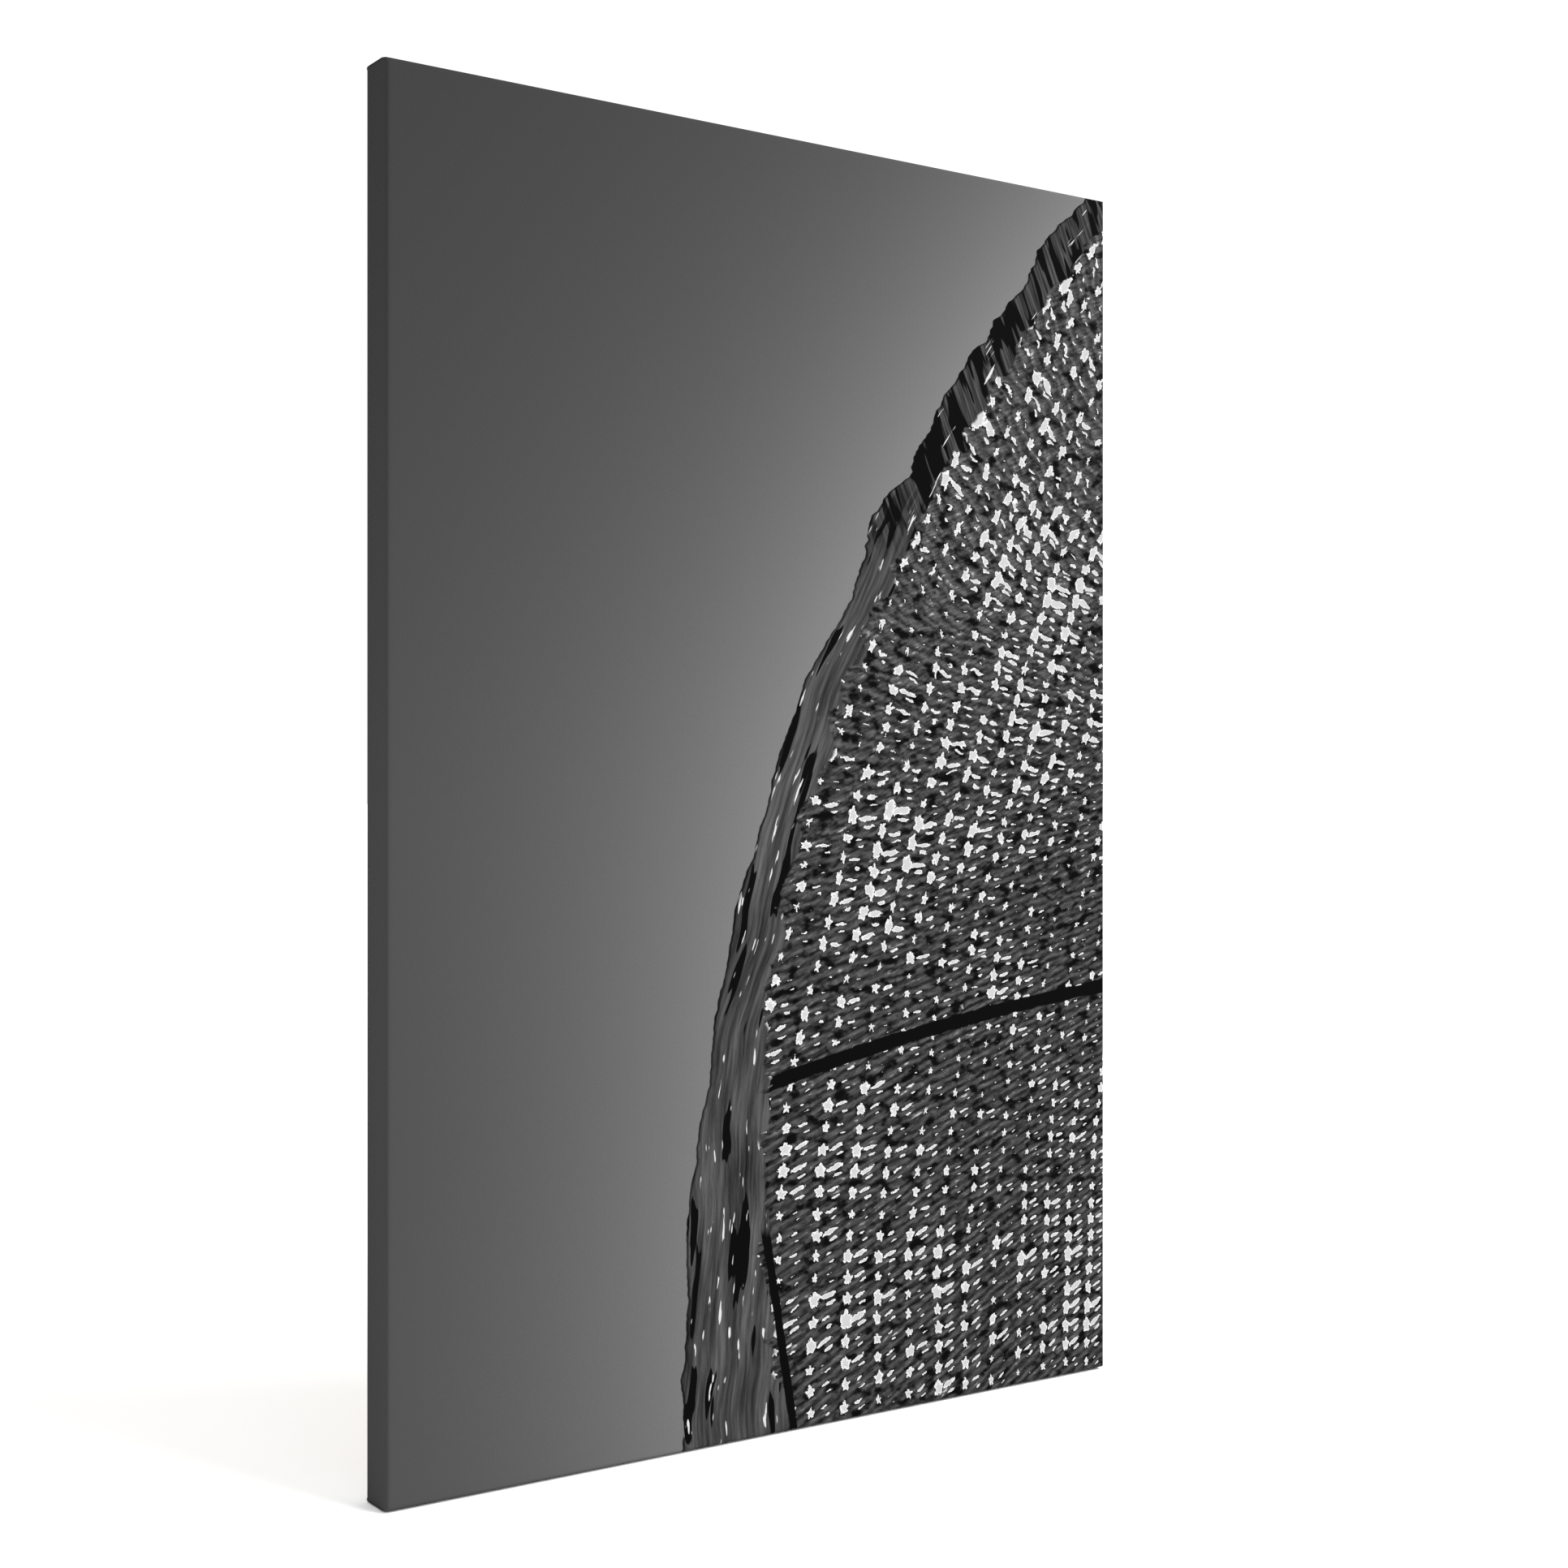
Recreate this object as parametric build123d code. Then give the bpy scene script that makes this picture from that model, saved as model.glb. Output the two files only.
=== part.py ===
from build123d import *
import os
from math import floor

# A stretched canvas: cloth wrapped round a keyed wooden stretcher frame and stapled behind.
# The frame stands on its bottom edge. +X is the viewer's right, +Y the wall side, +Z up.
# The origin is the middle of the bottom edge, on the cloth, half-way through the bars' depth.

# Frame, measured over the wood
FRAME_WIDTH = 400.0
FRAME_HEIGHT = 600.0
BAR_WIDTH = 40.0
BAR_DEPTH = 19.5

# Bar section: a raised bead carries the cloth, and the rest of the front falls away behind it
BEAD_WIDTH = 5.0
BEAD_STEP = 1.2
FRONT_FALL = 3.2
FRONT_EDGE_RADIUS = 1.2
BACK_EDGE_RADIUS = 1.2
INNER_EDGE_RADIUS = 1.2

# Corner joint: two layers of tongue and slot, each with a gap for a key
FRONT_LAYER_START = 5.5
LAYER_THICKNESS = 4.0
LAYER_WEB = 2.0
TONGUE_CLEARANCE = 0.15
TONGUE_END_GAP = 0.6
KEY_GAP = 8.0

# Corner keys: flat wedges driven into the gaps
KEY_INSERTION = 30.0
KEY_HEAD_LENGTH = 14.0
KEY_TIP_WIDTH = 3.4
KEY_CLEARANCE = 0.15
KEY_CORNER_RADIUS = 1.0

# Canvas
CANVAS_THICKNESS = 0.45
FLAP_WIDTH = 22.0

# Staples
STAPLE_CROWN = 12.0
STAPLE_LEG = 8.0
STAPLE_WIRE_WIDTH = 1.25
STAPLE_WIRE_THICKNESS = 0.6
STAPLE_POINT = 0.8
STAPLE_PITCH = 50.0
FOLD_STAPLE_OFFSET = 13.0
FOLD_LAYERS = 3

# Strap hangers with a swinging ring
HANGER_DROP = 150.0
STRAP_WIDTH = 12.0
STRAP_LENGTH = 27.0
STRAP_THICKNESS = 0.9
STRAP_HOLE_RADIUS = 2.1
STRAP_HOLE_DROP = 20.0
CURL_SLIT = 0.5
RING_WIRE_RADIUS = 1.1
RING_CLEARANCE = 0.1
RING_HALF_WIDTH = 9.0
RING_CORNER_RADIUS = 2.0
RING_REST_TILT = 4.0

# Hanger screws
SCREW_HEAD_RADIUS = 3.5
SCREW_HEAD_HEIGHT = 2.2
SCREW_HEAD_ROUNDING = 1.2
SCREW_SHANK_RADIUS = 1.75
SCREW_LENGTH = 12.0
SCREW_POINT = 3.0
SCREW_RECESS_WIDTH = 0.9
SCREW_RECESS_LENGTH = 3.6
SCREW_RECESS_DEPTH = 1.2

# Wall bumpers
BUMPER_RADIUS = 5.0
BUMPER_THICKNESS = 3.0
BUMPER_ROUNDING = 0.8

# Derived sizes
BACK_LAYER_START = FRONT_LAYER_START + LAYER_THICKNESS + LAYER_WEB
SLOT_REACH = BAR_WIDTH + KEY_GAP
LAYER_SOLID = LAYER_THICKNESS - 2 * TONGUE_CLEARANCE
FLAP_MIDDLE = FLAP_WIDTH / 2
BARE_WOOD_MIDDLE = (FLAP_WIDTH + BAR_WIDTH) / 2
CURL_INNER_RADIUS = RING_WIRE_RADIUS + RING_CLEARANCE
CURL_OUTER_RADIUS = CURL_INNER_RADIUS + STRAP_THICKNESS
PIVOT_DEPTH = BAR_DEPTH + CURL_OUTER_RADIUS
SCREW_SEAT = BAR_DEPTH + STRAP_THICKNESS

# The frame seen from behind: x to the right, y up from the wood's bottom edge, z from the front
# of the wood towards the wall.
FROM_BEHIND = Plane(
    origin=(0, -BAR_DEPTH / 2, CANVAS_THICKNESS), x_dir=(-1, 0, 0), z_dir=(0, 1, 0)
).location

# The four sides in turn round the frame, and the corner at the far end of each
SIDES = ["bottom", "left", "top", "right"]
CORNERS = ["bottom_left", "top_left", "top_right", "bottom_right"]


def side_length(index):
    """Length over the wood of one side."""
    return FRAME_WIDTH if index % 2 == 0 else FRAME_HEIGHT


def side_place(index):
    """Where a side's own frame lies: x along the bar, y inwards from its outer edge, z back."""
    across = FRAME_HEIGHT if index % 2 == 0 else FRAME_WIDTH
    centre = Pos(0, FRAME_HEIGHT / 2, 0)
    return FROM_BEHIND * centre * Rot(0, 0, 90 * index) * Pos(0, -across / 2, 0)


def block(x, y, z):
    """A box from its low and high value along each axis."""
    size = (x[1] - x[0], y[1] - y[0], z[1] - z[0])
    return Pos(x[0], y[0], z[0]) * Box(*size, align=(Align.MIN, Align.MIN, Align.MIN))


def round_corner(face, point, radius):
    """Round the corner of a flat face that is nearest to a point."""
    target = Vector(*point)
    nearest = min(face.vertices(), key=lambda v: (Vector(v.X, v.Y, v.Z) - target).length)
    return fillet(nearest, radius)


def mitred(section, length, outer, inner):
    """Run a bar section along x and cut both ends at 45 degrees."""
    run = extrude(Plane.YZ * section, amount=length, both=True)
    half = length / 2
    outline = Polyline(
        (-half - outer, -outer),
        (half + outer, -outer),
        (half - inner, inner),
        (-half + inner, inner),
        close=True,
    )
    wedge = extrude(make_face(outline), amount=2 * BAR_DEPTH, both=True)
    return run & wedge


def bar_section():
    """The bar's section: x inwards from the outer edge, y from the front to the back."""
    outline = Polyline(
        (0, 0),
        (BEAD_WIDTH, 0),
        (BEAD_WIDTH + BEAD_STEP, BEAD_STEP),
        (BAR_WIDTH, FRONT_FALL),
        (BAR_WIDTH, BAR_DEPTH),
        (0, BAR_DEPTH),
        close=True,
    )
    face = make_face(outline)
    face = round_corner(face, (0, 0, 0), FRONT_EDGE_RADIUS)
    face = round_corner(face, (0, BAR_DEPTH, 0), BACK_EDGE_RADIUS)
    face = round_corner(face, (BAR_WIDTH, FRONT_FALL, 0), INNER_EDGE_RADIUS)
    return round_corner(face, (BAR_WIDTH, BAR_DEPTH, 0), INNER_EDGE_RADIUS)


def layer_span(start):
    """Depths that a slot fills, from the start of its layer."""
    return (start, start + LAYER_THICKNESS)


def tongue_span(start):
    """Depths that a tongue fills, with clearance to the slot's sides."""
    return (start + TONGUE_CLEARANCE, start + TONGUE_CLEARANCE + LAYER_SOLID)


def tongue(length, end, start):
    """One tongue at the far (1) or near (-1) end, kept within the outlines of both bars."""
    half = length / 2
    reach = sorted((end * (half - BAR_WIDTH), end * (half - TONGUE_END_GAP)))
    own = extrude(Plane.YZ * bar_section(), amount=length, both=True)
    crossing = Pos(end * half, 0, 0) * Rot(0, 0, 90 * end) * own
    return block(reach, (0, BAR_WIDTH), tongue_span(start)) & own & crossing


def slot(length, end, start):
    """One slot at the far (1) or near (-1) end, long enough for a tongue and a key."""
    half = length / 2
    reach = sorted((end * (half - SLOT_REACH), end * half))
    return block(reach, (0, BAR_WIDTH), layer_span(start))


def stretcher_bar(length):
    """One bar: a front tongue and back slot at its far end, the other way round at its near end."""
    bar = mitred(bar_section(), length, 0, BAR_WIDTH)
    bar -= slot(length, -1, FRONT_LAYER_START)
    bar -= slot(length, 1, BACK_LAYER_START)
    bar += tongue(length, 1, FRONT_LAYER_START)
    bar += tongue(length, -1, BACK_LAYER_START)
    return bar


def corner_key():
    """A wedge: x = 0 at the slot's mouth and + outwards, y = 0 on the side beside the bar."""
    mouth_width = KEY_GAP - 2 * KEY_CLEARANCE
    taper = (mouth_width - KEY_TIP_WIDTH) / KEY_INSERTION
    head_width = mouth_width + taper * KEY_HEAD_LENGTH
    outline = Polyline(
        (-KEY_INSERTION, 0),
        (KEY_HEAD_LENGTH, 0),
        (KEY_HEAD_LENGTH, head_width),
        (-KEY_INSERTION, KEY_TIP_WIDTH),
        close=True,
    )
    face = make_face(outline)
    for point in [(KEY_HEAD_LENGTH, 0), (KEY_HEAD_LENGTH, head_width)]:
        face = round_corner(face, (*point, 0), KEY_CORNER_RADIUS)
    for point in [(-KEY_INSERTION, 0), (-KEY_INSERTION, KEY_TIP_WIDTH)]:
        face = round_corner(face, (*point, 0), KEY_CORNER_RADIUS)
    return extrude(face, amount=(LAYER_THICKNESS - 2 * KEY_CLEARANCE) / 2, both=True)


def front_key_place(index):
    """The front key at a corner lies along the inner edge of the side that ends there."""
    mouth = side_length(index) / 2 - BAR_WIDTH
    depth = FRONT_LAYER_START + LAYER_THICKNESS / 2
    return side_place(index) * Pos(mouth, BAR_WIDTH + KEY_CLEARANCE, depth) * Rot(0, 180, 0)


def back_key_place(index):
    """The back key at a corner lies along the inner edge of the side that starts there."""
    following = (index + 1) % len(SIDES)
    mouth = BAR_WIDTH - side_length(following) / 2
    depth = BACK_LAYER_START + LAYER_THICKNESS / 2
    return side_place(following) * Pos(mouth, BAR_WIDTH + KEY_CLEARANCE, depth)


def canvas_strip(length):
    """The cloth along one side: rolled over the bead, down the side and back under the bar."""
    thick = CANVAS_THICKNESS
    outline = Polyline(
        (-thick, -thick),
        (BEAD_WIDTH, -thick),
        (BEAD_WIDTH, 0),
        (0, 0),
        (0, BAR_DEPTH),
        (FLAP_WIDTH, BAR_DEPTH),
        (FLAP_WIDTH, BAR_DEPTH + thick),
        (-thick, BAR_DEPTH + thick),
        close=True,
    )
    face = make_face(outline)
    face = round_corner(face, (-thick, -thick, 0), FRONT_EDGE_RADIUS + thick)
    face = round_corner(face, (0, 0, 0), FRONT_EDGE_RADIUS)
    face = round_corner(face, (0, BAR_DEPTH, 0), BACK_EDGE_RADIUS)
    face = round_corner(face, (-thick, BAR_DEPTH + thick, 0), BACK_EDGE_RADIUS + thick)
    return mitred(face, length, thick, FLAP_WIDTH)


def canvas():
    """The cloth as its flat face and four wrapped strips, edge to edge."""
    half_width = FRAME_WIDTH / 2 - BEAD_WIDTH
    face = block(
        (-half_width, half_width),
        (BEAD_WIDTH, FRAME_HEIGHT - BEAD_WIDTH),
        (-CANVAS_THICKNESS, 0),
    )
    strips = [side_place(i) * canvas_strip(side_length(i)) for i in range(len(SIDES))]
    return [FROM_BEHIND * face, *strips]


def staple(seat):
    """A staple across y = 0 with its crown on a given depth and its legs towards the front."""
    half = STAPLE_CROWN / 2
    top = seat + STAPLE_WIRE_THICKNESS
    point = seat - STAPLE_LEG
    inside = half - STAPLE_WIRE_THICKNESS
    outline = Polyline(
        (-half, top),
        (half, top),
        (half, point + STAPLE_POINT),
        (inside, point),
        (inside, seat),
        (-inside, seat),
        (-inside, point),
        (-half, point + STAPLE_POINT),
        close=True,
    )
    face = make_face(outline)
    for x in (-half, half):
        face = round_corner(face, (x, top, 0), STAPLE_WIRE_THICKNESS)
    return extrude(Plane.XZ * face, amount=STAPLE_WIRE_WIDTH / 2, both=True)


def staple_places(length):
    """Where the staples sit along a bar: clear of the key slots at both ends."""
    reach = length / 2 - SLOT_REACH - STAPLE_CROWN
    gaps = floor(2 * reach / STAPLE_PITCH) + 1
    return [reach * (2 * i / gaps - 1) for i in range(gaps + 1)]


def staples(index):
    """One side's staples: a row through the flap and one near each corner.

    On the top and bottom bars the corner ones go through the fold, and on the side bars they sit
    just past it.
    """
    length = side_length(index)
    seat = BAR_DEPTH + CANVAS_THICKNESS
    row = [Pos(x, FLAP_MIDDLE, 0) * staple(seat) for x in staple_places(length)]
    if index % 2 == 0:
        corner_x = length / 2 - FOLD_STAPLE_OFFSET
        corner_seat = BAR_DEPTH + FOLD_LAYERS * CANVAS_THICKNESS
    else:
        corner_x = length / 2 - BARE_WOOD_MIDDLE
        corner_seat = seat
    row += [Pos(x, FLAP_MIDDLE, 0) * staple(corner_seat) for x in (-corner_x, corner_x)]
    return [side_place(index) * piece for piece in row]


def hanger_place(sign):
    """Middle of the ring's pivot on one side bar, over the back of the wood."""
    across = sign * (FRAME_WIDTH / 2 - BARE_WOOD_MIDDLE)
    return FROM_BEHIND * Pos(across, FRAME_HEIGHT - HANGER_DROP, 0)


def hanger_strap():
    """A flat strap with a round end and a hole, its top curled round the ring."""
    half = STRAP_WIDTH / 2
    depth = (BAR_DEPTH, BAR_DEPTH + STRAP_THICKNESS)
    plate = block((-half, half), (half - STRAP_LENGTH, 0), depth)
    end = Cylinder(half, STRAP_THICKNESS, align=(Align.CENTER, Align.CENTER, Align.MIN))
    plate += Pos(0, half - STRAP_LENGTH, BAR_DEPTH) * end
    along = Pos(0, 0, PIVOT_DEPTH) * Rot(0, 90, 0)
    strap = plate + along * Cylinder(CURL_OUTER_RADIUS, STRAP_WIDTH)
    strap -= along * Cylinder(CURL_INNER_RADIUS, STRAP_WIDTH)
    slit_depth = (depth[1], depth[1] + CURL_SLIT)
    strap -= block((-half, half), (-CURL_OUTER_RADIUS, -CURL_INNER_RADIUS / 2), slit_depth)
    hole = Cylinder(STRAP_HOLE_RADIUS, 4 * STRAP_THICKNESS)
    return strap - Pos(0, -STRAP_HOLE_DROP, BAR_DEPTH) * hole


def hanger_ring():
    """A ring of round wire: a straight side through the strap's curl and a round far side."""
    half = RING_HALF_WIDTH
    bend = RING_CORNER_RADIUS
    path = Wire(
        [
            *Line((bend - half, 0), (half - bend, 0)).edges(),
            *CenterArc((half - bend, -bend), bend, 90, -90).edges(),
            *CenterArc((0, -bend), half, 0, -180).edges(),
            *CenterArc((bend - half, -bend), bend, 180, -90).edges(),
        ]
    )
    start = Plane(origin=path @ 0, z_dir=path % 0)
    ring = sweep(start * Circle(RING_WIRE_RADIUS), path=path)
    return Pos(0, 0, PIVOT_DEPTH) * Rot(-RING_REST_TILT, 0, 0) * ring


def hanger_screw():
    """A round-headed wood screw with a cross recess, its head on the strap."""
    up = (Align.CENTER, Align.CENTER, Align.MIN)
    head = Cylinder(SCREW_HEAD_RADIUS, SCREW_HEAD_HEIGHT, align=up)
    head = fillet(head.edges().sort_by(Axis.Z)[-1], SCREW_HEAD_ROUNDING)
    arm = (SCREW_RECESS_LENGTH, SCREW_RECESS_WIDTH)
    for width, height in (arm, arm[::-1]):
        recess = Box(width, height, 2 * SCREW_RECESS_DEPTH)
        head -= Pos(0, 0, SCREW_HEAD_HEIGHT) * recess
    straight = SCREW_LENGTH - SCREW_POINT
    shank = Pos(0, 0, -straight) * Cylinder(SCREW_SHANK_RADIUS, straight, align=up)
    tip_radius = SCREW_SHANK_RADIUS / 10
    tip = Cone(tip_radius, SCREW_SHANK_RADIUS, SCREW_POINT, align=up)
    screw = head + shank + Pos(0, 0, -SCREW_LENGTH) * tip
    return Pos(0, -STRAP_HOLE_DROP, SCREW_SEAT) * screw


def bumper():
    """A round pad with an eased rim, stuck to the back of the wood."""
    pad = Cylinder(BUMPER_RADIUS, BUMPER_THICKNESS, align=(Align.CENTER, Align.CENTER, Align.MIN))
    return fillet(pad.edges().sort_by(Axis.Z)[-1], BUMPER_ROUNDING)


def bumper_place(sign):
    """Middle of a bumper's seat in one lower corner."""
    across = sign * (FRAME_WIDTH / 2 - BARE_WOOD_MIDDLE)
    return FROM_BEHIND * Pos(across, BARE_WOOD_MIDDLE, BAR_DEPTH)


def all_nodes():
    """Every node's solids by name."""
    nodes = {"canvas": canvas()}
    for index, side in enumerate(SIDES):
        nodes["bar_" + side] = [side_place(index) * stretcher_bar(side_length(index))]
        nodes["staples_" + side] = staples(index)
    for index, corner in enumerate(CORNERS):
        nodes["key_" + corner + "_front"] = [front_key_place(index) * corner_key()]
        nodes["key_" + corner + "_back"] = [back_key_place(index) * corner_key()]
    # Seen from behind, the object's left side is on the right
    for side, sign in (("left", 1), ("right", -1)):
        nodes["hanger_strap_" + side] = [hanger_place(sign) * hanger_strap()]
        nodes["hanger_ring_" + side] = [hanger_place(sign) * hanger_ring()]
        nodes["hanger_screw_" + side] = [hanger_place(sign) * hanger_screw()]
        nodes["bumper_" + side] = [bumper_place(sign) * bumper()]
    return nodes


def write_nodes():
    """Write each node's solids to a file named after it."""
    os.makedirs("parts", exist_ok=True)
    for name, shapes in all_nodes().items():
        solids = [solid for shape in shapes for solid in shape.solids()]
        whole = solids[0] if len(solids) == 1 else Compound(children=solids)
        export_step(whole, os.path.join("parts", name + ".step"))


write_nodes()
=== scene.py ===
import math
import random

import bmesh
import bpy
import numpy as np
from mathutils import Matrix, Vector


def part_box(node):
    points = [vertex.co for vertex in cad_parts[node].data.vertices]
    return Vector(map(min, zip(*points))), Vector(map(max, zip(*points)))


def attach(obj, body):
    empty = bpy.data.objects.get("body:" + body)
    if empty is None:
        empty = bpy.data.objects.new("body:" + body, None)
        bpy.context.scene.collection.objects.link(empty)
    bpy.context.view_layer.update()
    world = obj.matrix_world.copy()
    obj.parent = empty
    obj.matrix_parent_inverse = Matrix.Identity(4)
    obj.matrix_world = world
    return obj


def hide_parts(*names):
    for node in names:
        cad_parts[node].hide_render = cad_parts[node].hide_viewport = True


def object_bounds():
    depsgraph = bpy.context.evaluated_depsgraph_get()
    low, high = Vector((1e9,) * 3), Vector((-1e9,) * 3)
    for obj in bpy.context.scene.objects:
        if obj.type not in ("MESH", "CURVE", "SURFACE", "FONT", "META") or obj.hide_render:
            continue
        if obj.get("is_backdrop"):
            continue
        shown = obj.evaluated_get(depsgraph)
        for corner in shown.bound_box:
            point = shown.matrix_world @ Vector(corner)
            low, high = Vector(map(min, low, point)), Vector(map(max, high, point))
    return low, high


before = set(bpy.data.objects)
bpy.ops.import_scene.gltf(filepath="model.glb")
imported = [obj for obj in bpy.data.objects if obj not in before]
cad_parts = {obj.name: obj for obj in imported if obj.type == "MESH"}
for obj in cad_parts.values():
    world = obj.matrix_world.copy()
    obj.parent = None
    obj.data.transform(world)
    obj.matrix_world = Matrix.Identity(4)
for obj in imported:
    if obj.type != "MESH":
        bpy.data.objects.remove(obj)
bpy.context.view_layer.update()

# A stretched canvas on its wooden frame. All lengths are in metres unless a name says mm.
# Axes are the row frame's: +X to the viewer's right, +Y towards the wall, +Z up.

# ---------------------------------------------------------------------------------------------
# Sizes, read from the frame
# ---------------------------------------------------------------------------------------------
WOOD_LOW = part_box("bar_bottom")[0]
WOOD_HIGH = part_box("bar_top")[1]
CLOTH_LOW, CLOTH_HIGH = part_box("canvas")
WIDTH = WOOD_HIGH.x - WOOD_LOW.x
HEIGHT = WOOD_HIGH.z - WOOD_LOW.z
DEPTH = WOOD_HIGH.y - WOOD_LOW.y
THICK = WOOD_LOW.y - CLOTH_LOW.y
FRONT = WOOD_LOW.y
MIDDLE = np.array([(WOOD_LOW.x + WOOD_HIGH.x) / 2, FRONT, (WOOD_LOW.z + WOOD_HIGH.z) / 2])
MM = 1000.0                 # millimetres in a metre
SIDES = ["bottom", "left", "top", "right"]

# ---------------------------------------------------------------------------------------------
# The cloth's own sizes
# ---------------------------------------------------------------------------------------------
FLAP = 0.022                # how far it turns over the back of the frame
BEAD = 0.005                # width of the wood's raised front edge; a side strip starts inside it
FRONT_RADIUS = 0.0012       # the eased edges that it goes round
BACK_RADIUS = 0.0012
PRINT_BLEED = 0.004         # how far the print runs on past the back edge
LAYER = THICK * 1.02        # rise over each layer folded in below
SHELL_SHARE = 0.96          # the modelled thickness over the CAD's, so that layers never touch
HOLLOW = 0.0006             # how far the face is drawn in at its middle
PARTING = 0.004             # depth over which folded layers part behind the front corner
FOLD_LEAD = 0.0005          # how far short of a fold the cloth over it starts to come down,
FOLD_SLOPE = 0.006          # and how far past the fold it is down
CREASE_DRAW = (0.0012, 0.0008)      # how far the crease is drawn in, round the back edge
                                    # and then across the flap
FLAP_INSET = 0.0003         # how far inside the wood the side flaps end
FLAP_LIFT = 0.0007          # rise of the flap between two staples
WRAP_RIPPLE = 0.00009       # height of the ripples round the sides
CALM_RUN = 0.010            # distance from a corner over which lift and ripple begin
STAPLE_GAP = 0.014          # points further apart than this belong to two staples
WELD = 0.00001              # points nearer than this become one
TINY = 1e-9

# ---------------------------------------------------------------------------------------------
# Light and camera
# ---------------------------------------------------------------------------------------------
SURROUND_STRENGTH = 1.08
KEY_STRENGTH = 4.7
KEY_SPREAD = math.radians(40)
KEY_DIRECTION = Vector((-0.53, 0.63, -0.57))
LENS_MM = 51.07
SENSOR_MM = 36.0
CAMERA_X = -0.5902
CAMERA_GAP = 0.8466         # from the picture's face
CAMERA_TURN = math.radians(34.85)
NEAREST_SEEN = 0.05
FLOOR_SIZE = 60
FLOOR_GAP = 0.0001

# ---------------------------------------------------------------------------------------------
# The print, measured in millimetres from the bottom middle of the face
# ---------------------------------------------------------------------------------------------
THREAD_MM = 0.62            # one thread of the canvas
PICTURE_MM = 600.0          # height of the printed picture
LIGHT_ON_FACE = 2.03        # brightness of a white face in this scene's light
SHEEN_LIGHT = 0.003         # brightness that its faint gloss adds
EYE_POWER = 2.2             # from a tone as seen to an amount of light
DARKEST_INK = 0.0008
DARK_GAP = 0.012            # tone of the deep gaps between loose strands
BRIGHT_SLIVER = 0.88        # tone of the thin light splinters

EDGE_FOOT_MM = -56.0        # the textile's edge at the foot of the picture,
EDGE_RUN_MM = 242.0         # how far it has moved to the right at the top,
EDGE_CURVE = 2.3            # and how late it turns that way

STITCH_MM = (24.0, 11.0)    # width and height of one stitch of the textile
CELL_WIDTH = 2.2            # its width in the units of the shapes below, where its height is 1
STAR = ((0.40, 0.50), (0.29, 0.31))         # centre and size of each hole in a stitch
SLIT = ((1.24, 0.66), (0.50, 0.12))
SMALL_SLIT = ((1.48, 0.34), (0.34, 0.09))
SLIT_LEAN = 0.40            # how far the slits lean in the lower part, in radians
STAR_POINTS = 5.0
STAR_DEPTH = 0.16
ROPE_TURNS = 13.8           # twist of the strands round the holes, in radians for each stitch
ROPE_START = 2.9
LOOSE_PATCH = ((140.0, 350.0), (42.0, 85.0))    # centre and reach of the widest holes,
TIGHT_PATCH = ((165.0, 245.0), (45.0, 40.0))    # and of the closest stitches

CORD_MM = 163.0             # height of the dark cord in the middle of the picture
CORD_SLOPE = 0.17
TAIL_MM = 5.0               # where its tail meets the foot of the picture

# ---------------------------------------------------------------------------------------------
# Colours, as linear red, green and blue
# ---------------------------------------------------------------------------------------------
# The primer's first colour is the primer in painted shade, where the weave lies low between threads;
# its second is its colour on the thread tops.
PRIMER_SHADED_LOW = (0.56, 0.555, 0.53)
PRIMER_THREAD_TOP = (0.70, 0.695, 0.67)
FLAX_DARK = (0.40, 0.34, 0.25)
FLAX_LIGHT = (0.56, 0.50, 0.39)
FLAX_FLECK = (0.19, 0.14, 0.09)
PINE_EARLY = (0.62, 0.44, 0.24)
PINE_LATE = (0.42, 0.235, 0.095)
PINE_PALE = (0.70, 0.54, 0.33)
PINE_LINE = (0.48, 0.31, 0.15)
PINE_KNOT = (0.17, 0.075, 0.03)
BEECH_DARK = (0.54, 0.35, 0.20)
BEECH_LIGHT = (0.64, 0.46, 0.29)
BEECH_FLECK = (0.42, 0.25, 0.14)
WOOL_DARK = (0.018, 0.018, 0.02)
WOOL_LIGHT = (0.075, 0.073, 0.07)
WOOL_LINT = (0.22, 0.21, 0.20)
NICKEL = (0.45, 0.435, 0.405)
STAPLE_STEEL = (0.50, 0.51, 0.52)
FLOOR_WHITE = (0.98, 0.98, 0.98)

# Each bar's knots: how many, how near the bar's ends and its middle line, and their radii
KNOTS = 3
KNOT_SPAN = 0.45
KNOT_DRIFT_MM = 14
KNOT_RADII_MM = (1.4, 3.4)


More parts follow.
